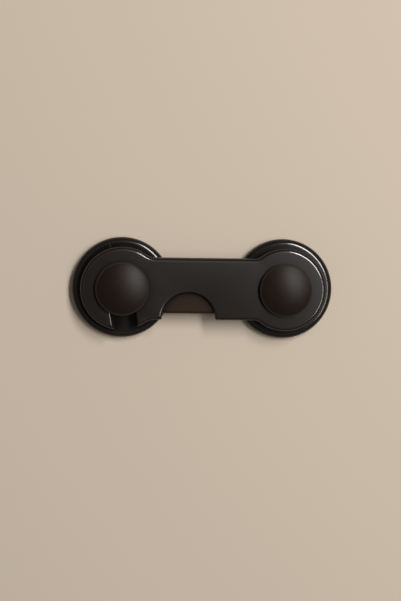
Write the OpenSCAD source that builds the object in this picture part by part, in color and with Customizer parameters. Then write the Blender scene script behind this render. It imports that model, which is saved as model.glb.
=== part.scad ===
// Cabinet safety lock: two stick-on bases with knobs, and an arm that hooks one to the other.
// The parts are drawn lying flat, x along the arm and z out of the doors, then stood up on the doors.
// The pivot knob's axis is x = 0, y = 0, the keeper's is x = -span, and the doors' face is z = 0.

/* [Overall] */
// Distance between the axes of the two knobs
span = 72.9; // [68:0.1:80]

/* [Bases] */
// Diameter of each round base
base_d = 45; // [43:0.5:50]
// Thickness of each base
base_h = 4.2; // [3.8:0.1:5.5]
// Rounding of each base's front edge
base_round = 2.6; // [1.5:0.1:3]
// Diameter of each adhesive pad
pad_d = 40; // [36:1:42]
// Thickness of each adhesive pad
pad_t = 1; // [0.6:0.1:1.6]
// Diameter of the post on each base
post_d = 9.4; // [9:0.1:10]
// Depth of the hollows moulded into the back of each base
core_depth = 2.4; // [1.5:0.1:2.6]
// Thickness of the ribs between those hollows
core_rib = 1.6; // [1.2:0.1:2.4]

/* [Knobs] */
// Diameter of each knob
knob_d = 23.6; // [22:0.2:26]
// Height of each knob's straight edge
knob_edge = 1.6; // [1.2:0.1:2.5]
// Rise of the dome above that edge
knob_rise = 2.4; // [1.6:0.1:4]
// Bevel around the dome
knob_bevel = 0.4; // [0.2:0.1:0.8]
// Wall around each knob's hollow underside
knob_wall = 2; // [1.6:0.1:2.6]
// Depth of that hollow
knob_hollow = 1; // [0.6:0.1:1.2]
// Depth of the knob's six-sided key in the post
key_depth = 3.2; // [2.5:0.1:4]
// Width of that key across its corners
key_d = 5.2; // [4.6:0.1:5.8]

/* [Arm] */
// Thickness of the arm
arm_t = 6.8; // [6.8:0.1:8]
// Diameter of the rounded ends
ring_d = 36.8; // [35.6:0.2:40]
// Height of the bar between the ends
bar_h = 27.4; // [26.4:0.2:29]
// Rounding of the arm's front edge
arm_round = 1.8; // [1:0.1:2]
// Radius of the blend between the hook and the bar
hook_blend = 11; // [6:0.5:12]
// Radius of the blend between the pivot end and the bar
pivot_blend = 5.5; // [2:0.5:6]
// Side walls of the cover
wall = 2.6; // [2:0.1:2.8]
// Thin lip of the cover around the back plate
lip = 1.2; // [1:0.1:1.6]
// Front wall of the cover
front_t = 1.6; // [1.4:0.1:1.8]
// Thickness of the back plate
back_t = 1.6; // [1.5:0.1:1.8]
// Wall of the hub around the pivot post
hub_wall = 2.9; // [2.4:0.1:3.6]
// Wall of the cover beside the hook's mouth
mouth_wall = 1.8; // [1.5:0.1:2.4]
// Rounding of the hook mouth's front edge
mouth_round = 1.4; // [0.4:0.1:1.6]

/* [Finger notch] */
// Radius of the half-moon notch
notch_r = 12; // [10:0.2:12.4]
// Distance of the notch from the keeper's axis
notch_from_keeper = 29.7; // [29:0.1:33]
// Distance of the notch's centre below the bar's lower edge
notch_drop = 0.1; // [0.1:0.1:1]
// Rounding of the notch's front edge
notch_round = 1.3; // [0.6:0.1:1.5]
// Corner cut off where the notch meets the bar's lower edge
notch_corner = 0.4; // [0.4:0.1:1.2]

/* [Release and latch] */
// Travel of the release button, and of the slider that it draws
travel = 3; // [2.6:0.1:3.2]
// How much wider than the notch the button is on each side
button_side = 1.3; // [1:0.1:2]
// Height of the thick edge that the finger pushes
button_edge = 1.8; // [1.4:0.1:2.2]
// Rounding of that edge
button_round = 1.4; // [0.6:0.1:1.4]
// Thickness of the latch slider
slider_t = 1.6; // [1.4:0.1:1.7]
// Width of the slider's bar and of the tongue
tongue_w = 3.2; // [2.8:0.1:3.6]
// Slope under the tongue's tip that the post rides up
tongue_ramp = 1.6; // [1.2:0.1:2]
// Length of the tongue's tail in the slider
tail_l = 4; // [3:0.5:5]
// Thickness of that tail
tail_t = 1.4; // [1:0.1:1.8]
// Diameter of the slider's stud
stud_d = 3; // [2.4:0.1:3.4]
// Depth of the slanted groove that the stud runs in
groove_depth = 1; // [0.8:0.1:1.1]
// Thickness of the guide ribs beside the button
rib_t = 1.2; // [1:0.1:1.4]
// Width of the slider's riser and of its spring lug
riser_w = 3.6; // [3:0.1:4.2]

/* [Return spring] */
// Outside diameter of the spring
spring_d = 3; // [2.6:0.1:3]
// Wire of the spring
wire_d = 0.4; // [0.3:0.05:0.5]
// Length of the spring in its place
spring_l = 9; // [8:0.5:11]
// Turns of the spring
spring_turns = 7; // [5:1:8]

/* [Screws] */
// Diameter of each knob screw
knob_screw_d = 2.6; // [2:0.1:3]
// Diameter of each knob screw's head
knob_head_d = 5.4; // [4.6:0.1:6]
// Height of each knob screw's head
knob_head_h = 1.6; // [1.2:0.1:1.8]
// How far each knob screw reaches into the dome
knob_screw_reach = 1.6; // [1:0.1:2]
// Diameter of each arm screw
arm_screw_d = 1.9; // [1.6:0.1:2.2]
// Diameter of each arm screw's head
arm_head_d = 3.6; // [3.2:0.1:4]
// Height of each arm screw's head
arm_head_h = 0.7; // [0.6:0.1:0.8]
// Diameter of the bosses that the arm screws bite into
boss_d = 4.4; // [4:0.1:5]

/* [Clearances] */
// Around the pivot post in the arm's hub
run_gap = 0.05; // [0.02:0.01:0.1]
// Around the keeper post in the hook
post_gap = 0.4; // [0.3:0.05:0.6]
// Between the arm and the bases behind it
arm_gap = 0.4; // [0.3:0.05:0.8]
// Between the arm and the knobs in front of it
knob_gap = 0.5; // [0.4:0.05:0.8]
// Between the sliding pieces
slide_gap = 0.1; // [0.08:0.01:0.15]
// Around fixed pieces that are pushed or screwed together
fit_gap = 0.05; // [0.02:0.01:0.1]
// Between moving pieces that only pass each other
pass_gap = 0.4; // [0.3:0.05:0.6]

/* [Hidden] */
$fn = 96;

// Levels out from the doors
z_base = pad_t + base_h;
z_arm0 = z_base + arm_gap;
z_arm1 = z_arm0 + arm_t;
z_knob = z_arm1 + knob_gap;
z_plate = z_arm0 + back_t;
z_slider0 = z_plate + slide_gap;
z_slider1 = z_slider0 + slider_t;
z_button0 = z_slider1 + slide_gap;
z_front = z_arm1 - front_t;
z_button1 = z_front - slide_gap;

// How far a cutter runs past the face it cuts
over = 1;
// Straight steps in a quarter of a rounded edge
edge_steps = 8;
// How far each blend bites into the arm's end and bar
blend_bite = 0.1;

// The posts, the hub and the hook
post_r = post_d / 2;
ring_r = ring_d / 2;
hub_r = post_r + hub_wall;
mouth_half = post_r + post_gap;
seat_extra = 0.1;
seat_r = mouth_half + seat_extra;
mouth_past = 5;
mouth_turn = asin(ring_r / span) + mouth_past;
mouth_face_x = mouth_half - span;

// The inside of the bar
inner_y = bar_h / 2 - wall;
plate_step = 0.2;

// The button, behind the notch
notch_x = notch_from_keeper - span;
notch_y = -bar_h / 2 - notch_drop;
button_x0 = notch_x - notch_r - button_side;
button_x1 = notch_x + notch_r + button_side;
button_y0 = slide_gap - inner_y;
edge_inset = 1;
edge_x0 = notch_x - notch_r + edge_inset;
edge_x1 = notch_x + notch_r - edge_inset;

// The spring lies along the top of the bar's inside, and the button stops below it
spring_r = spring_d / 2;
spring_side = 0.5;
spring_y = inner_y - spring_r - spring_side;
spring_z = (z_plate + z_front) / 2;
spring_x0 = button_x0;
spring_x1 = spring_x0 + spring_l;
stop_t = 1.6;
lug_z1 = z_front - slide_gap;
peg_gap = 0.25;
peg_d = spring_d - 2 * wire_d - 2 * peg_gap;
peg_l = 1.6;
button_y1 = spring_y - spring_r - travel - pass_gap;

// The stud at rest, in the upper end of its groove
groove_side = 1.2;
groove_r = stud_d / 2 + slide_gap;
stud_x = button_x0 + groove_side + groove_r;
stud_y = button_y1 - groove_side - groove_r;
stud_pad = 0.4;

// The slider and its tongue. Drawn back by its travel, the tongue clears the hook's mouth
tongue_x = mouth_face_x - travel + pass_gap;
tongue_rise = 0.7;
tongue_y1 = tongue_rise - post_r;
tongue_y0 = tongue_y1 - tongue_w;
slider_inset = 0.7;
slider_x0 = mouth_face_x + slider_inset;
riser_x0 = spring_x0 - riser_w;
riser_drop = 1.5;
bar_x1 = riser_x0 + riser_w / 2;
window_gap = 2 * slide_gap;

// The back plate's cut behind the button, and the rail that the button slides on
plate_cut_y = button_y0 + travel + pass_gap;
rail_w = 4;
rail_inset = 1;
rail_y0 = button_y0 + button_edge + travel + pass_gap;

// The arm screws: two around the hook, one in the bar and one beyond the pivot
hook_screw_r = (seat_r + mouth_wall + ring_r - wall) / 2;
pivot_screw_r = (hub_r + ring_r - wall) / 2;
hook_screw_turns = [180, 50];
bar_screw_side = 1.2;
bar_screw_x = button_x1 + slide_gap + rib_t + bar_screw_side + boss_d / 2;
arm_screws_at = concat(
    [for (a = hook_screw_turns) [-span + hook_screw_r * cos(a), hook_screw_r * sin(a)]],
    [[bar_screw_x, 0], [pivot_screw_r, 0]]
);
thread_gap = 0.02;
head_sink = 0.1;
boss_floor = 0.3;
tip_gap = 0.3;
arm_screw_seat = z_arm0 + head_sink + arm_head_h;
arm_screw_l = z_front - boss_floor - tip_gap - arm_screw_seat;

// The knob screws
head_depth = 0.4;
screw_seat = pad_t + head_depth + knob_head_h;
knob_screw_l = z_knob + knob_screw_reach - screw_seat;
knob_seat = 0.5;

// The mark on the keeper's base, which runs part of the way down the rounded edge
mark_turn = 107;
mark_w = 0.45;
mark_l = 2.35;
mark_h = 0.2;
mark_over = 1.15;

// Steps around a rounded edge, as [how far the side has drawn in, how far below the front]
function round_steps(r) = [
    for (i = [0 : edge_steps])
        let (a = 90 * i / edge_steps)
            [r * (1 - cos(a)), r * (1 - sin(a))]
];

// Points of an arc about a centre
function arc(centre, r, from, to, steps) = [
    for (i = [0 : steps])
        let (a = from + (to - from) * i / steps)
            centre + r * [cos(a), sin(a)]
];

// The centre of a blend of radius r between a round end and the bar, seen from the round end.
// It is a little closer than tangent, so that the blend's skin crosses theirs
function blend_centre(r) = [
    sqrt((ring_r + r) * (ring_r + r) - (bar_h / 2 + r) * (bar_h / 2 + r)),
    bar_h / 2 + r - blend_bite
];

// Stands the flat drawing up on the doors
module on_door() {
    rotate([90, 0, 0])
        children();
}

module at_keeper() {
    translate([-span, 0, 0])
        children();
}

// A prism between two levels
module slab(z0, z1) {
    translate([0, 0, z0])
        linear_extrude(z1 - z0)
            children();
}

module block(x0, x1, y0, y1, z0, z1) {
    translate([x0, y0, z0])
        cube([x1 - x0, y1 - y0, z1 - z0]);
}

module rod(d, z0, z1) {
    translate([0, 0, z0])
        cylinder(d = d, h = z1 - z0);
}

// A screw along z: its head hangs below z = 0 and its point is up
module screw(d, length, head_d, head_h) {
    tip = d / 2;
    slot_w = head_d / 6;
    slot_l = head_d - 2 * slot_w;
    difference() {
        rod(head_d, -head_h, 0);
        for (turn = [0, 90])
            rotate([0, 0, turn])
                block(-slot_l / 2, slot_l / 2, -slot_w / 2, slot_w / 2, -head_h - over, -head_h / 2);
    }
    rod(d, 0, length - tip);
    translate([0, 0, length - tip])
        cylinder(d1 = d, d2 = d / 4, h = tip);
}

// A cutter of radius r whose top flares out, so that it leaves a rounded front edge
module flared_cutter(r, edge, z0, z1) {
    rotate_extrude()
        polygon(concat(
            [[0, z0 - over], [r, z0 - over]],
            [for (s = round_steps(edge)) [r + s[0], z1 - s[1]]],
            [[r + edge, z1 + over], [0, z1 + over]]
        ));
}

module adhesive_pad() {
    rod(pad_d, 0, pad_t);
}

// The disc of a base, without its post
module base_disc() {
    rotate_extrude()
        polygon(concat(
            [[0, pad_t], [base_d / 2, pad_t]],
            [for (s = round_steps(base_round)) [base_d / 2 - s[0], z_base - s[1]]],
            [[0, z_base]]
        ));
}

module base() {
    core_count = 6;
    core_r0 = knob_head_d / 2 + fit_gap + 2 * core_rib;
    core_r1 = pad_d / 2 - core_rib;
    core_turn = 360 / core_count - 2 * asin(core_rib / (2 * core_r0));
    difference() {
        union() {
            base_disc();
            rod(post_d, z_base - over, z_knob);
        }
        // Screw hole, its counterbore and the knob's key
        rod(knob_screw_d + 4 * fit_gap, pad_t - over, z_knob + over);
        rod(knob_head_d + 2 * fit_gap, pad_t - over, screw_seat);
        translate([0, 0, z_knob - key_depth])
            cylinder(d = key_d + 2 * fit_gap, h = key_depth + over, $fn = 6);
        // Hollows in the back, closed by the pad
        for (i = [0 : core_count - 1])
            rotate([0, 0, i * 360 / core_count])
                translate([0, 0, pad_t - over])
                    rotate_extrude(angle = core_turn)
                        translate([core_r0, 0])
                            square([core_r1 - core_r0, core_depth + over]);
    }
}

module knob() {
    dome_r = knob_d / 2 - knob_bevel;
    ball_r = (dome_r * dome_r + knob_rise * knob_rise) / (2 * knob_rise);
    dome_turn = asin(dome_r / ball_r);
    dome_steps = 16;
    z_dome = z_knob + knob_edge;
    dome = arc([0, z_dome + knob_rise - ball_r], ball_r, 90 - dome_turn, 90, dome_steps);
    hollow_r0 = post_r + knob_seat;
    hollow_r1 = knob_d / 2 - knob_wall;
    difference() {
        rotate_extrude()
            polygon(concat(
                [[0, z_knob], [knob_d / 2 - knob_bevel, z_knob], [knob_d / 2, z_knob + knob_bevel]],
                [[knob_d / 2, z_dome - knob_bevel]],
                dome
            ));
        rotate_extrude()
            translate([hollow_r0, z_knob - over])
                square([hollow_r1 - hollow_r0, knob_hollow + over]);
        rod(knob_screw_d + 2 * thread_gap, z_knob - over, z_knob + knob_screw_reach + tip_gap);
    }
    difference() {
        translate([0, 0, z_knob - key_depth + fit_gap])
            cylinder(d = key_d, h = key_depth - fit_gap, $fn = 6);
        rod(knob_screw_d + 2 * thread_gap, z_knob - key_depth - over, z_knob + over);
    }
}

module knob_screw() {
    translate([0, 0, screw_seat])
        screw(knob_screw_d, knob_screw_l, knob_head_d, knob_head_h);
}

// A rounded end of the arm with its blends into the bar, which leaves it along +x
module arm_end(blend) {
    centre = blend_centre(blend);
    rotate_extrude()
        polygon(concat(
            [[0, z_arm0], [ring_r, z_arm0]],
            [for (s = round_steps(arm_round)) [ring_r - s[0], z_arm1 - s[1]]],
            [[0, z_arm1]]
        ));
    difference() {
        slab(z_arm0, z_arm1)
            polygon([[0, 0], [centre[0], -centre[1]], centre]);
        for (side = [1, -1])
            translate([centre[0], side * centre[1], 0])
                flared_cutter(blend, arm_round, z_arm0, z_arm1);
    }
}

// The whole outside of the arm
module arm_blank() {
    edge = round_steps(arm_round);
    at_keeper()
        arm_end(hook_blend);
    rotate([0, 0, 180])
        arm_end(pivot_blend);
    translate([-span, 0, 0])
        rotate([90, 0, 90])
            linear_extrude(span)
                polygon(concat(
                    [[-bar_h / 2, z_arm0], [bar_h / 2, z_arm0]],
                    [for (s = edge) [bar_h / 2 - s[0], z_arm1 - s[1]]],
                    [for (i = [edge_steps : -1 : 0]) [edge[i][0] - bar_h / 2, z_arm1 - edge[i][1]]]
                ));
}

// The arm's outline drawn in by an inset, without the blends
module arm_outline(inset) {
    at_keeper()
        circle(r = ring_r - inset);
    circle(r = ring_r - inset);
    translate([-span, inset - bar_h / 2])
        square([span, bar_h - 2 * inset]);
}

// The hook's mouth, widened by a wall: the path of the keeper post as the arm swings up
module hook_mouth(grow) {
    intersection() {
        difference() {
            circle(r = span + mouth_half + grow);
            circle(r = span - mouth_half - grow);
        }
        translate([-span - ring_d, -ring_d])
            square([2 * ring_d, ring_d]);
    }
    at_keeper()
        circle(r = seat_r + grow);
}

// Cuts the hook's mouth with a rounded front edge
module mouth_cutter() {
    edge = round_steps(mouth_round);
    rotate([0, 0, 180])
        rotate_extrude(angle = mouth_turn)
            polygon(concat(
                [[span - mouth_half, z_arm0 - over], [span + mouth_half, z_arm0 - over]],
                [for (s = edge) [span + mouth_half + s[0], z_arm1 - s[1]]],
                [[span + mouth_half + mouth_round, z_arm1 + over]],
                [[span - mouth_half - mouth_round, z_arm1 + over]],
                [for (i = [edge_steps : -1 : 0]) [span - mouth_half - edge[i][0], z_arm1 - edge[i][1]]]
            ));
    at_keeper()
        rod(2 * seat_r, z_arm0 - over, z_arm1 + over);
}

// What the back plate and the space behind the front wall leave standing around the hub and the mouth
module arm_hollow(inset, around) {
    difference() {
        arm_outline(inset);
        circle(r = hub_r + around);
        hook_mouth(mouth_wall + around);
    }
}

module arm_cover() {
    color("#26211f")
        on_door() {
            difference() {
                arm_blank();
                // Recess for the back plate, then the hollow, with the screw bosses left standing
                slab(z_arm0 - over, z_plate)
                    arm_hollow(lip, 0);
                slab(z_plate - over, z_front)
                    difference() {
                        arm_hollow(wall, plate_step);
                        for (p = arm_screws_at)
                            translate(p)
                                circle(d = boss_d);
                    }
                mouth_cutter();
                rod(post_d + 2 * run_gap, z_arm0 - over, z_arm1 + over);
                translate([notch_x, notch_y, 0])
                    flared_cutter(notch_r, notch_round, z_arm0, z_arm1);
                slab(z_arm0 - over, z_arm1 + over)
                    for (side = [1, -1])
                        translate([notch_x + side * notch_r, -bar_h / 2])
                            circle(r = notch_corner, $fn = 4);
                // Window for the tongue
                block(
                    mouth_face_x - over, mouth_face_x + mouth_wall + over,
                    tongue_y0 - window_gap, tongue_y1 + window_gap,
                    z_slider0 - slide_gap, z_slider1 + slide_gap
                );
                for (p = arm_screws_at)
                    translate(p)
                        rod(arm_screw_d + 2 * thread_gap, z_plate - over, z_front - boss_floor);
            }
            // Guide ribs beside the button, and the wall that the spring pushes on
            block(
                button_x0 - slide_gap - rib_t, button_x0 - slide_gap,
                -inner_y - wall / 2, button_y1, z_slider1 + slide_gap, z_front + front_t / 2
            );
            block(
                button_x1 + slide_gap, button_x1 + slide_gap + rib_t,
                -inner_y - wall / 2, button_y1, z_plate, z_front + front_t / 2
            );
            block(
                spring_x1, spring_x1 + stop_t,
                spring_y - spring_r, inner_y + wall / 2, z_plate, z_front + front_t / 2
            );
        }
}

module arm_back_plate() {
    color("#211d1b")
        on_door() {
            difference() {
                slab(z_arm0, z_plate)
                    difference() {
                        arm_hollow(lip + fit_gap, fit_gap);
                        translate([button_x0, -bar_h])
                            square([button_x1 - button_x0, bar_h + plate_cut_y]);
                    }
                for (p = arm_screws_at)
                    translate(p) {
                        rod(arm_screw_d + 4 * fit_gap, z_arm0 - over, z_plate + over);
                        rod(arm_head_d + 4 * fit_gap, z_arm0 - over, arm_screw_seat);
                    }
            }
            block(
                button_x1 - rail_inset - rail_w, button_x1 - rail_inset,
                rail_y0, button_y1, z_plate, z_button0 - slide_gap
            );
        }
}

module arm_screws() {
    color("#8c8f92")
        on_door()
            for (p = arm_screws_at)
                translate([p[0], p[1], arm_screw_seat])
                    screw(arm_screw_d, arm_screw_l, arm_head_d, arm_head_h);
}

module release_button() {
    groove_end = [stud_x + travel, stud_y - travel];
    half_turn_steps = 16;
    color("#352a25")
        on_door()
            difference() {
                union() {
                    translate([button_x0, 0, 0])
                        rotate([90, 0, 90])
                            linear_extrude(button_x1 - button_x0)
                                polygon(concat(
                                    [[button_y1, z_button1], [button_y1, z_button0], [button_y0, z_button0]],
                                    [for (s = round_steps(button_round)) [button_y0 + s[0], z_button1 - s[1]]]
                                ));
                    block(
                        edge_x0, edge_x1, button_y0, button_y0 + button_edge,
                        z_slider0, z_button0 + over / 2
                    );
                }
                // Groove on the back that draws the stud along
                slab(z_button0 - over, z_button0 + groove_depth)
                    polygon(concat(
                        arc([stud_x, stud_y], groove_r, 45, 225, half_turn_steps),
                        arc(groove_end, groove_r, 225, 405, half_turn_steps)
                    ));
            }
}

module latch_slider() {
    tail_x1 = slider_x0 + tail_l;
    tail_y = (tongue_y0 + tongue_y1) / 2;
    color("#d8d5cc")
        on_door() {
            difference() {
                union() {
                    block(slider_x0, bar_x1, tongue_y0, tongue_y1, z_slider0, z_slider1);
                    block(
                        riser_x0, spring_x0, tongue_y1 - riser_drop, spring_y + spring_r,
                        z_slider0, z_slider1
                    );
                    block(
                        riser_x0, stud_x + stud_d / 2 + stud_pad,
                        stud_y - stud_d / 2 - stud_pad, stud_y + stud_d / 2 + stud_pad,
                        z_slider0, z_slider1
                    );
                    block(
                        riser_x0, spring_x0, spring_y - spring_r, spring_y + spring_r,
                        z_slider0, lug_z1
                    );
                }
                block(
                    slider_x0 - over, tail_x1 + fit_gap,
                    tail_y - tail_t / 2 - fit_gap, tail_y + tail_t / 2 + fit_gap,
                    z_slider0 - over, z_slider1 + over
                );
            }
            translate([stud_x, stud_y, 0])
                rod(stud_d, z_slider1 - slider_t / 2, z_button0 + groove_depth - slide_gap);
            translate([spring_x0 - riser_w / 2, spring_y, spring_z])
                rotate([0, 90, 0])
                    cylinder(d = peg_d, h = riser_w / 2 + peg_l);
        }
}

module latch_tongue() {
    tail_y = (tongue_y0 + tongue_y1) / 2;
    color("#e4e1d8")
        on_door()
            difference() {
                union() {
                    slab(z_slider0, z_slider1)
                        polygon([
                            [slider_x0 - fit_gap, tongue_y0], [slider_x0 - fit_gap, tongue_y1],
                            [tongue_x, tongue_y1], [tongue_x, tongue_y0 + tongue_ramp],
                            [tongue_x + tongue_ramp, tongue_y0]
                        ]);
                    block(
                        slider_x0 - tail_t, slider_x0 + tail_l,
                        tail_y - tail_t / 2, tail_y + tail_t / 2, z_slider0, z_slider1
                    );
                }
                at_keeper()
                    rod(post_d + 2 * post_gap, z_slider0 - over, z_slider1 + over);
            }
}

// A coil of round wire along +x, as one unbroken tube
module coil(outer_d, wire, length, turns) {
    sides = 6;
    per_turn = 8;
    rings = turns * per_turn;
    mean_r = (outer_d - wire) / 2;
    run = length - wire;
    lead = atan2(run / turns, 2 * PI * mean_r);
    // The wire's middle line, and the least gap between one turn of it and the next
    turn = [for (i = [0 : rings]) 360 * i / per_turn];
    out = [for (a = turn) [0, cos(a), sin(a)]];
    middle = [for (i = [0 : rings]) [wire / 2 + run * i / rings, 0, 0] + mean_r * out[i]];
    turns_apart = [
        for (i = [0 : rings - per_turn], j = [i + per_turn / 2 : rings])
            norm(middle[j] - middle[i])
    ];
    echo(coil_gap = min(turns_apart) - wire);
    // One ring of points around the wire at each step along the coil
    points = [
        for (i = [0 : rings], k = [0 : sides - 1])
            let (
                side = 360 * k / sides,
                along = [cos(lead), sin(lead) * sin(turn[i]), -sin(lead) * cos(turn[i])]
            )
                middle[i] + wire / 2 * (out[i] * cos(side) + along * sin(side))
    ];
    start = [[for (k = [0 : sides - 1]) k]];
    finish = [[for (k = [sides - 1 : -1 : 0]) rings * sides + k]];
    skin = [
        for (i = [0 : rings - 1], k = [0 : sides - 1])
            let (a = i * sides + k, b = i * sides + (k + 1) % sides)
                each [[a, a + sides, b], [b, a + sides, b + sides]]
    ];
    polyhedron(points, concat(start, skin, finish));
}

module return_spring() {
    color("#b9bcbf")
        on_door()
            translate([spring_x0, spring_y, spring_z])
                coil(spring_d, wire_d, spring_l, spring_turns);
}

module keeper_pad() {
    color("#cfccc4")
        on_door()
            at_keeper()
                adhesive_pad();
}

module keeper_base() {
    mark_r1 = base_d / 2 - base_round + mark_over;
    color("#1d1a19")
        on_door()
            at_keeper() {
                base();
                // Raised line that shows which base is the keeper, at one height above the base's skin
                intersection() {
                    translate([0, 0, mark_h])
                        base_disc();
                    rotate([0, 0, mark_turn])
                        block(
                            mark_r1 - mark_l, mark_r1, -mark_w / 2, mark_w / 2,
                            z_base - over, z_base + over
                        );
                }
            }
}

module keeper_screw() {
    color("#8c8f92")
        on_door()
            at_keeper()
                knob_screw();
}

module keeper_knob() {
    color("#2a2422")
        on_door()
            at_keeper()
                knob();
}

module pivot_pad() {
    color("#cfccc4")
        on_door()
            adhesive_pad();
}

module pivot_base() {
    color("#1d1a19")
        on_door()
            base();
}

module pivot_screw() {
    color("#8c8f92")
        on_door()
            knob_screw();
}

module pivot_washer() {
    color("#d8d5cc")
        on_door()
            difference() {
                rod(knob_d - knob_wall, z_arm1 + fit_gap, z_knob - fit_gap);
                rod(post_d + 2 * slide_gap, z_arm1 - over, z_knob + over);
            }
}

module pivot_knob() {
    color("#2a2422")
        on_door()
            knob();
}

keeper_pad();
keeper_base();
keeper_screw();
keeper_knob();
pivot_pad();
pivot_base();
pivot_screw();
pivot_washer();
pivot_knob();
arm_cover();
arm_back_plate();
arm_screws();
release_button();
latch_slider();
latch_tongue();
return_spring();
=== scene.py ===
# Looks of the cabinet safety lock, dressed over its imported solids.
# Lengths are in metres, in the part's own frame.
import math

import bpy
from mathutils import Matrix, Vector


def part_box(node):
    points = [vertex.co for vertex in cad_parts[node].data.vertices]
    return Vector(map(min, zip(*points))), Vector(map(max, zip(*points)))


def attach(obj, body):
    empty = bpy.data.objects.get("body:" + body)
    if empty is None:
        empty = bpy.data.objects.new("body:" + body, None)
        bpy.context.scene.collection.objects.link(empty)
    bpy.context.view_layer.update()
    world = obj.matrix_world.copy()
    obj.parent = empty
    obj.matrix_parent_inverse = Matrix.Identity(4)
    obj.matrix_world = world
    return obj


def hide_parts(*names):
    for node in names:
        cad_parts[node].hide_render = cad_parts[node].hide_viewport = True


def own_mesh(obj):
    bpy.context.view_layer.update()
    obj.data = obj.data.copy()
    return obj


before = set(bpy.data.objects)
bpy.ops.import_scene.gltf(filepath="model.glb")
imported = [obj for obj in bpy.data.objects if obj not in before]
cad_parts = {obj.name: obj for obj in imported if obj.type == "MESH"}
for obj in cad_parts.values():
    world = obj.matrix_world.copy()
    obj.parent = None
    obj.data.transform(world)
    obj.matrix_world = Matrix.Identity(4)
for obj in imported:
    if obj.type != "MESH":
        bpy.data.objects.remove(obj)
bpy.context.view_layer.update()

MM = 0.001

# Start of each finish's name, which keeps it apart from the materials of the solids
DRESSED = "dressed_"

# Level camera, found from the two bases and the two knobs in the photograph.
# The lens and the sensor are in millimetres, the frame's height and its drop in pixels.
CAMERA_AT = Vector((-75.9, -506.4, 38.4)) * MM
CAMERA_YAW = math.radians(4.30)
CAMERA_ROLL = math.radians(0.93)
CAMERA_NEAR = 10 * MM
LENS = 66.86
SENSOR = 36.0
FRAME_HEIGHT = 601
FRAME_DROP = 97.6

# Finish of each node that shows as it was packed
FINISH_OF_NODE = {
    "keeper_pad": "foam_tape",
    "keeper_base": "base_plastic",
    "keeper_screw": "screw_steel",
    "keeper_knob": "knob_plastic",
    "pivot_pad": "foam_tape",
    "pivot_base": "base_plastic",
    "pivot_screw": "screw_steel",
    "pivot_washer": "acetal",
    "pivot_knob": "knob_plastic",
    "arm_cover": "arm_plastic",
    "arm_back_plate": "arm_plastic",
    "arm_screws": "screw_steel",
    "release_button": "button_plastic",
    "latch_slider": "acetal",
    "latch_tongue": "acetal",
}

# What the moulded plastics have in common: the polish of their rounded edges, how much of the
# edge colour a lightened edge takes (partly wear, partly painted sheen), the share of the dark
# tone left where shade is painted into a corner, how open a corner still is where that painted
# shade is full, and the strength of the grain
POLISH_ROUGHNESS = 0.11
POLISH_IOR = 1.7
WEAR_AND_SHEEN_MOST = 0.6
PAINTED_SHADE_TONE = 0.1
PAINTED_SHADE_OPENNESS = 0.72
GRAIN_STRENGTH = 0.4

# The return spring
SPRING_TURNS = 7
SPRING_WIRE = 0.4 * MM

# The wall in the doors' place, just behind the pads
WALL_COLOUR = (0.66, 0.57, 0.47)
WALL_ROUGHNESS = 0.9
WALL_REACH = 3.0
WALL_BEHIND = 0.1 * MM
WALL_CLOSE = 5 * WALL_BEHIND

# Place, width and height, lean and watts of each lamp
LAMPS = {
    "softbox": ((0.509, -1.19, 0.476), (0.24, 0.90), math.radians(8), 15.0),
    "side panel": ((0.62, -1.22, -0.21), (0.20, 0.42), 0.0, 2.1),
    "back panel": ((-0.037, 0.90, 0.0), (0.90, 0.90), 0.0, 4.0),
}
LAMP_AIM = Vector((-0.037, 0.0, 0.0))
LAMP_COLOUR = (1.0, 0.98, 0.95)
SKY_COLOUR = (0.95, 0.86, 0.77)
SKY_STRENGTH = 0.16

# Places of the sockets of a colour mix, whose names its other kinds of mix have too
MIX_SHARE = 0
MIX_COLOURS = (6, 7)
MIX_RESULT = 2


def place_camera():
    """The camera at the photograph's viewing angle."""
    camera = bpy.data.objects.new("camera", bpy.data.cameras.new("camera"))
    camera.data.lens = LENS
    camera.data.sensor_width = SENSOR
    camera.data.shift_y = -FRAME_DROP / FRAME_HEIGHT
    camera.data.clip_start = CAMERA_NEAR
    turned = Matrix.Rotation(-CAMERA_YAW, 4, "Z") @ Matrix.Rotation(math.pi / 2, 4, "X")
    rolled = turned @ Matrix.Rotation(CAMERA_ROLL, 4, "Z")
    camera.matrix_world = Matrix.Translation(CAMERA_AT) @ rolled
    bpy.context.scene.collection.objects.link(camera)
    bpy.context.scene.camera = camera


def node(tree, kind, inputs=(), **settings):
    """A node with its settings, and values or links on its inputs."""
    made = tree.nodes.new(kind)
    for name, value in settings.items():
        setattr(made, name, value)
    for name, value in dict(inputs).items():
        if isinstance(value, bpy.types.NodeSocket):
            tree.links.new(value, made.inputs[name])
        else:
            made.inputs[name].default_value = value
    return made


def reckon(tree, operation, *values):
    """The result of a math node."""
    return node(tree, "ShaderNodeMath", enumerate(values), operation=operation).outputs[0]


def share_of(tree, value, none, full):
    """How far a value has come from none, where it counts 0, to full, where it counts 1."""
    limits = {"Value": value, "From Min": none, "From Max": full}
    return node(tree, "ShaderNodeMapRange", limits).outputs["Result"]


def spread(tree, share, low, high):
    """A share from 0 to 1, taken to the range from low to high."""
    limits = {"Value": share, "To Min": low, "To Max": high}
    return node(tree, "ShaderNodeMapRange", limits).outputs["Result"]


def mix_colour(tree, share, first, second):
    """A colour between two, by a share from 0 to 1."""
    made = node(tree, "ShaderNodeMix", data_type="RGBA")
    tree.links.new(share, made.inputs[MIX_SHARE])
    for place, colour in zip(MIX_COLOURS, (first, second)):
        if isinstance(colour, bpy.types.NodeSocket):
            tree.links.new(colour, made.inputs[place])
        else:
            made.inputs[place].default_value = (*colour, 1.0)
    return made.outputs[MIX_RESULT]


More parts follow.
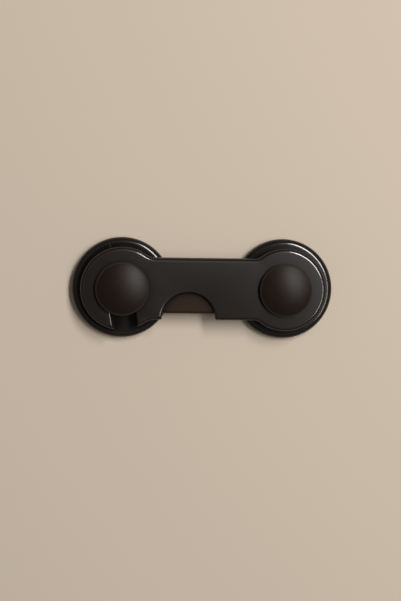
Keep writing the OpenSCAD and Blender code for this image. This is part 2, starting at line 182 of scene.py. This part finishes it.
def effect(name, inputs, outputs):
    """An empty shader node group with named number sockets, and its two ends."""
    group = bpy.data.node_groups.new(name, "ShaderNodeTree")
    number = "NodeSocketFloat"
    for socket, usual in inputs.items():
        made = group.interface.new_socket(socket, in_out="INPUT", socket_type=number)
        made.default_value = usual
    for socket in outputs:
        group.interface.new_socket(socket, in_out="OUTPUT", socket_type=number)
    start, end = group.nodes.new("NodeGroupInput"), group.nodes.new("NodeGroupOutput")
    return group, start.outputs, end.inputs


def moulded_grain():
    """Fine grain of a moulding, and a slow drift from the way the plastic flowed."""
    sizes = {"Grain size": 0.25 * MM, "Flow size": 12 * MM}
    group, given, out = effect("moulded grain", sizes, ["Height", "Flow"])
    where = node(group, "ShaderNodeTexCoord").outputs["Object"]
    for size, detail, result in (("Grain size", 3.0, "Height"), ("Flow size", 2.0, "Flow")):
        per_metre = reckon(group, "DIVIDE", 1.0, given[size])
        pattern = {"Vector": where, "Scale": per_metre, "Detail": detail}
        noise = node(group, "ShaderNodeTexNoise", pattern)
        group.links.new(noise.outputs["Fac"], out[result])
    return group


def edge_wear_and_sheen_mask():
    """Where edges stick out, from the way the skin turns within a short distance; the plastics
    are lighter there, partly as wear and partly as painted sheen and glint.
    """
    even, full_edge = 1.0, 0.75
    group, given, out = effect("edge wear and sheen", {"Width": 0.3 * MM}, ["Edge"])
    turned = node(group, "ShaderNodeBevel", {"Radius": given["Width"]}, samples=4)
    skin = node(group, "ShaderNodeNewGeometry")
    normals = {0: turned.outputs["Normal"], 1: skin.outputs["Normal"]}
    along = node(group, "ShaderNodeVectorMath", normals, operation="DOT_PRODUCT")
    edge = share_of(group, along.outputs["Value"], even, full_edge)
    group.links.new(edge, out["Edge"])
    return group


def corner_shade_mask():
    """How deep a spot lies among the pieces around it, from 0 in the open to 1 in a corner; the
    plastics paint shade by it.
    """
    in_the_open = 1.0
    starts = {"Reach": 6 * MM, "Deepest": PAINTED_SHADE_OPENNESS}
    group, given, out = effect("corner_shade_mask", starts, ["Depth"])
    around = node(group, "ShaderNodeAmbientOcclusion", {"Distance": given["Reach"]}, samples=8)
    depth = share_of(group, around.outputs["AO"], in_the_open, given["Deepest"])
    group.links.new(depth, out["Depth"])
    return group


def turned_edge():
    """A band where the skin has turned away from the front.

    It grows from Flat to Turned, and fades from Steep to Side.
    """
    starts = {"Flat": 0.999, "Turned": 0.985, "Steep": 0.95, "Side": 0.86}
    group, given, out = effect("turned edge", starts, ["Band"])
    normal = node(group, "ShaderNodeTexCoord").outputs["Normal"]
    facing = node(group, "ShaderNodeSeparateXYZ", {0: normal}).outputs["Y"]
    level = reckon(group, "ABSOLUTE", facing)
    grown = share_of(group, level, given["Flat"], given["Turned"])
    left = share_of(group, level, given["Side"], given["Steep"])
    group.links.new(reckon(group, "MULTIPLY", grown, left), out["Band"])
    return group


GRAIN = moulded_grain()
WEAR_AND_SHEEN = edge_wear_and_sheen_mask()
CORNER_SHADE = corner_shade_mask()
TURNED = turned_edge()


def finish_of(name):
    """A new material with its tree and its shader."""
    made = bpy.data.materials.new(DRESSED + name)
    made.use_nodes = True
    return made, made.node_tree, made.node_tree.nodes["Principled BSDF"]


def use_effect(tree, group, **values):
    """The outputs of an effect that is placed in a finish with its own values."""
    made = node(tree, "ShaderNodeGroup", node_tree=group)
    for name, value in values.items():
        made.inputs[name.replace("_", " ").capitalize()].default_value = value
    return made.outputs


def roughen(tree, shader, height, strength, depth):
    """Bump on the shader from a pattern of heights."""
    pattern = {"Height": height, "Strength": strength, "Distance": depth}
    bump = node(tree, "ShaderNodeBump", pattern)
    tree.links.new(bump.outputs["Normal"], shader.inputs["Normal"])


def moulded_plastic(
    name, dark, light, edge, gloss, grain_size, grain_depth,
    shine=0.5, polish=None, sheen_band=None, deepest=PAINTED_SHADE_OPENNESS,
):
    """Moulded plastic: two tones that drift, edges lightened partly by wear and partly by painted
    sheen, painted shade in corners and recesses, and a fine grain.

    polish is the weight of the polish on rounded edges, and sheen_band the band of skin that
    takes the edge colour too, as a painted reflection line.
    """
    made, tree, shader = finish_of(name)
    shader.inputs["Specular IOR Level"].default_value = shine
    if polish is not None:
        rounded = use_effect(tree, TURNED)["Band"]
        tree.links.new(spread(tree, rounded, 0.0, polish), shader.inputs["Coat Weight"])
        shader.inputs["Coat Roughness"].default_value = POLISH_ROUGHNESS
        shader.inputs["Coat IOR"].default_value = POLISH_IOR
    grain = use_effect(tree, GRAIN, grain_size=grain_size)
    depth = use_effect(tree, CORNER_SHADE, deepest=deepest)["Depth"]
    wear_and_sheen = use_effect(tree, WEAR_AND_SHEEN)["Edge"]
    # The band takes the edge colour as well: a painted reflection line along the rim.
    if sheen_band is not None:
        wear_and_sheen = reckon(tree, "MAXIMUM", wear_and_sheen, use_effect(tree, TURNED, **sheen_band)["Band"])
    drift = mix_colour(tree, grain["Flow"], dark, light)
    # Painted shade: where pieces close around a spot, the tone darkens towards a dark copy of
    # itself.
    shaded = mix_colour(tree, depth, drift, [PAINTED_SHADE_TONE * part for part in dark])
    # Edges take the edge colour, partly as wear and partly as painted sheen.
    lightened_edges = mix_colour(tree, spread(tree, wear_and_sheen, 0.0, WEAR_AND_SHEEN_MOST), shaded, edge)
    tree.links.new(lightened_edges, shader.inputs["Base Color"])
    tree.links.new(spread(tree, grain["Flow"], *gloss), shader.inputs["Roughness"])
    roughen(tree, shader, grain["Height"], GRAIN_STRENGTH, grain_depth)
    return made


def steel(name, shade, tone, gloss):
    """Bare or plated steel: two tones that drift, and a fine grain in the gloss."""
    made, tree, shader = finish_of(name)
    grain = use_effect(tree, GRAIN, grain_size=0.12 * MM, flow_size=2 * MM)
    tree.links.new(mix_colour(tree, grain["Flow"], shade, tone), shader.inputs["Base Color"])
    tree.links.new(spread(tree, grain["Height"], *gloss), shader.inputs["Roughness"])
    shader.inputs["Metallic"].default_value = 1.0
    return made


def foam_tape(name, walls, cells, gloss, cell_size, cell_depth, strength):
    """Closed-cell foam with a tacky skin."""
    made, tree, shader = finish_of(name)
    where = node(tree, "ShaderNodeTexCoord").outputs["Object"]
    pattern = node(tree, "ShaderNodeTexVoronoi", {"Vector": where, "Scale": 1 / cell_size})
    out = pattern.outputs["Distance"]
    tree.links.new(mix_colour(tree, out, walls, cells), shader.inputs["Base Color"])
    tree.links.new(spread(tree, out, *gloss), shader.inputs["Roughness"])
    roughen(tree, shader, out, strength, cell_depth)
    return made


# Tones, gloss and grain of the finishes
PLASTICS = {
    "arm_plastic": dict(
        dark=(0.0065, 0.0035, 0.0026), light=(0.0085, 0.0048, 0.0036), edge=(0.020, 0.014, 0.011),
        gloss=(0.38, 0.43), grain_size=0.25 * MM, grain_depth=0.02 * MM,
        shine=0.29, polish=1.0,
    ),
    # The base's light edge colour is mostly a painted glint on its raised mark and sharp edges.
    "base_plastic": dict(
        dark=(0.0100, 0.0072, 0.0056), light=(0.0120, 0.0088, 0.0070), edge=(0.110, 0.100, 0.090),
        gloss=(0.24, 0.30), grain_size=0.25 * MM, grain_depth=0.003 * MM,
        shine=0.25, polish=0.65,
    ),
    # The band on the knob's bevel takes the edge colour as a painted reflection line.
    "knob_plastic": dict(
        dark=(0.0085, 0.0036, 0.0021), light=(0.0105, 0.0047, 0.0029), edge=(0.040, 0.027, 0.019),
        gloss=(0.43, 0.49), grain_size=0.3 * MM, grain_depth=0.02 * MM,
        shine=0.25, sheen_band=dict(flat=0.90, turned=0.85, steep=0.60, side=0.40),
    ),
    # Its warm brown is a painted reflection of warm light on black plastic; its painted shade,
    # full at more open spots, darkens the tab's top as the arch's shadow would.
    "button_plastic": dict(
        dark=(0.0295, 0.0137, 0.0076), light=(0.0345, 0.0165, 0.0092), edge=(0.050, 0.028, 0.018),
        gloss=(0.50, 0.58), grain_size=0.3 * MM, grain_depth=0.02 * MM,
        shine=0.15, deepest=0.82,
    ),
    "acetal": dict(
        dark=(0.66, 0.64, 0.58), light=(0.74, 0.72, 0.66), edge=(0.80, 0.78, 0.72),
        gloss=(0.30, 0.40), grain_size=0.4 * MM, grain_depth=0.01 * MM,
    ),
}
STEELS = {
    "screw_steel": dict(
        shade=(0.44, 0.45, 0.46), tone=(0.56, 0.57, 0.58), gloss=(0.25, 0.45),
    ),
    "spring_steel": dict(
        shade=(0.50, 0.51, 0.52), tone=(0.62, 0.63, 0.64), gloss=(0.18, 0.32),
    ),
}
FOAMS = {
    "foam_tape": dict(
        walls=(0.50, 0.48, 0.44), cells=(0.66, 0.64, 0.60), gloss=(0.35, 0.6),
        cell_size=0.45 * MM, cell_depth=0.1 * MM, strength=0.3,
    ),
}
FINISHES = {
    name: make(name, **values)
    for make, table in ((moulded_plastic, PLASTICS), (steel, STEELS), (foam_tape, FOAMS))
    for name, values in table.items()
}


def even_normals():
    """Joins the faces of a solid and shades it smooth, but for edges sharper than a limit."""
    sharpest = math.radians(28)
    same_point = 0.002 * MM
    group = bpy.data.node_groups.new("even normals", "GeometryNodeTree")
    for end in ("INPUT", "OUTPUT"):
        group.interface.new_socket("Mesh", in_out=end, socket_type="NodeSocketGeometry")
    solid = group.nodes.new("NodeGroupInput").outputs[0]
    joined = node(
        group, "GeometryNodeMergeByDistance", {"Geometry": solid, "Distance": same_point},
    )
    plain = node(
        group, "GeometryNodeSetMeshNormal", {"Mesh": joined.outputs[0], "Remove Custom": True},
    )
    smooth = node(
        group, "GeometryNodeSetShadeSmooth",
        {"Geometry": plain.outputs[0], "Shade Smooth": True},
    )
    turn = node(group, "GeometryNodeInputMeshEdgeAngle").outputs["Unsigned Angle"]
    sharp = node(group, "FunctionNodeCompare", {0: turn, 1: sharpest}, operation="GREATER_THAN")
    edged = node(
        group, "GeometryNodeSetShadeSmooth",
        {"Geometry": smooth.outputs[0], "Selection": sharp.outputs[0], "Shade Smooth": False},
        domain="EDGE",
    )
    group.links.new(edged.outputs[0], group.nodes.new("NodeGroupOutput").inputs[0])
    return group


def dress_nodes():
    """Gives each node that stays its finish and even shading."""
    even = even_normals()
    for name, finish in FINISH_OF_NODE.items():
        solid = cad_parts[name]
        solid.material_slots[0].link = "OBJECT"
        solid.material_slots[0].material = FINISHES[finish]
        solid.modifiers.new("even normals", "NODES").node_group = even


def add_object(name, points, faces, finish):
    """A new object from its points and faces, with one finish."""
    mesh = bpy.data.meshes.new(name)
    mesh.from_pydata(points, [], faces)
    mesh.materials.append(finish)
    made = bpy.data.objects.new(name, mesh)
    bpy.context.scene.collection.objects.link(made)
    return made


def wind_spring():
    """The return spring as a round wire, wound evenly over the length of its node."""
    rings_a_turn, sides = 40, 14
    rings = SPRING_TURNS * rings_a_turn
    low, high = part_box("return_spring")
    middle = (low + high) / 2
    length = high.x - low.x
    run = length - SPRING_WIRE
    mean_r = (high.z - low.z - SPRING_WIRE) / 2
    lead = math.atan2(run / SPRING_TURNS, math.tau * mean_r)
    rise, lean = math.cos(lead), math.sin(lead)
    points, faces = [], []
    for i in range(rings + 1):
        turn = math.tau * i / rings_a_turn
        out = Vector((0, -math.sin(turn), math.cos(turn)))
        across = Vector((rise, lean * math.cos(turn), lean * math.sin(turn)))
        start = Vector((low.x + SPRING_WIRE / 2 + run * i / rings, middle.y, middle.z))
        core = start + out * mean_r
        for k in range(sides):
            side = math.tau * k / sides
            spoke = out * math.cos(side) + across * math.sin(side)
            points.append(core + spoke * SPRING_WIRE / 2)
    for i in range(rings):
        for k in range(sides):
            a, b = i * sides + k, i * sides + (k + 1) % sides
            faces.append((a, b, b + sides, a + sides))
    faces.append(tuple(range(sides - 1, -1, -1)))
    faces.append(tuple(range(rings * sides, rings * sides + sides)))
    coil = add_object("spring_coil", points, faces, FINISHES["spring_steel"])
    coil.data.shade_smooth()
    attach(coil, "arm")
    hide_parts("return_spring")
    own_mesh(coil)


def set_stage():
    """A pale wall in the doors' place.

    It hides nothing from behind, stops no lamp, and doesn't darken the pads that lie close to it.
    """
    pale, tree, shader = finish_of("pale_wall")
    shader.inputs["Roughness"].default_value = WALL_ROUGHNESS
    shader.inputs["Base Color"].default_value = (*WALL_COLOUR, 1.0)
    clear = node(tree, "ShaderNodeBsdfTransparent").outputs[0]
    behind = node(tree, "ShaderNodeNewGeometry").outputs["Backfacing"]
    path = node(tree, "ShaderNodeLightPath").outputs
    from_pad = reckon(tree, "LESS_THAN", path["Ray Length"], WALL_CLOSE)
    from_back_or_lamp = reckon(tree, "MAXIMUM", behind, path["Is Shadow Ray"])
    let_by = reckon(tree, "MAXIMUM", from_back_or_lamp, from_pad)
    mixed = node(tree, "ShaderNodeMixShader", {0: let_by, 1: shader.outputs[0], 2: clear})
    tree.links.new(mixed.outputs[0], tree.nodes["Material Output"].inputs["Surface"])
    ends = ((-1, -1), (1, -1), (1, 1), (-1, 1))
    corners = [(x * WALL_REACH, WALL_BEHIND, z * WALL_REACH) for x, z in ends]
    add_object("wall", corners, [(0, 1, 2, 3)], pale)


def hang_lamp(name, at, size, lean, watts):
    """A soft rectangular lamp that faces the middle of the lock."""
    lamp = bpy.data.objects.new(name, bpy.data.lights.new(name, "AREA"))
    lamp.data.shape = "RECTANGLE"
    lamp.data.size, lamp.data.size_y = size
    lamp.data.energy = watts
    lamp.data.color = LAMP_COLOUR
    lamp.location = at
    facing = (LAMP_AIM - Vector(at)).to_track_quat("-Z", "Y").to_matrix()
    lamp.rotation_euler = (facing @ Matrix.Rotation(lean, 3, "Z")).to_euler()
    bpy.context.scene.collection.objects.link(lamp)


def light_stage():
    """The lamps, and a dim sky."""
    for name, lamp in LAMPS.items():
        hang_lamp(name, *lamp)
    sky = bpy.data.worlds.new("sky")
    sky.use_nodes = True
    glow = sky.node_tree.nodes["Background"].inputs
    glow["Color"].default_value = (*SKY_COLOUR, 1.0)
    glow["Strength"].default_value = SKY_STRENGTH
    bpy.context.scene.world = sky


bpy.context.scene.view_settings.view_transform = "Standard"
place_camera()
dress_nodes()
wind_spring()
set_stage()
light_stage()
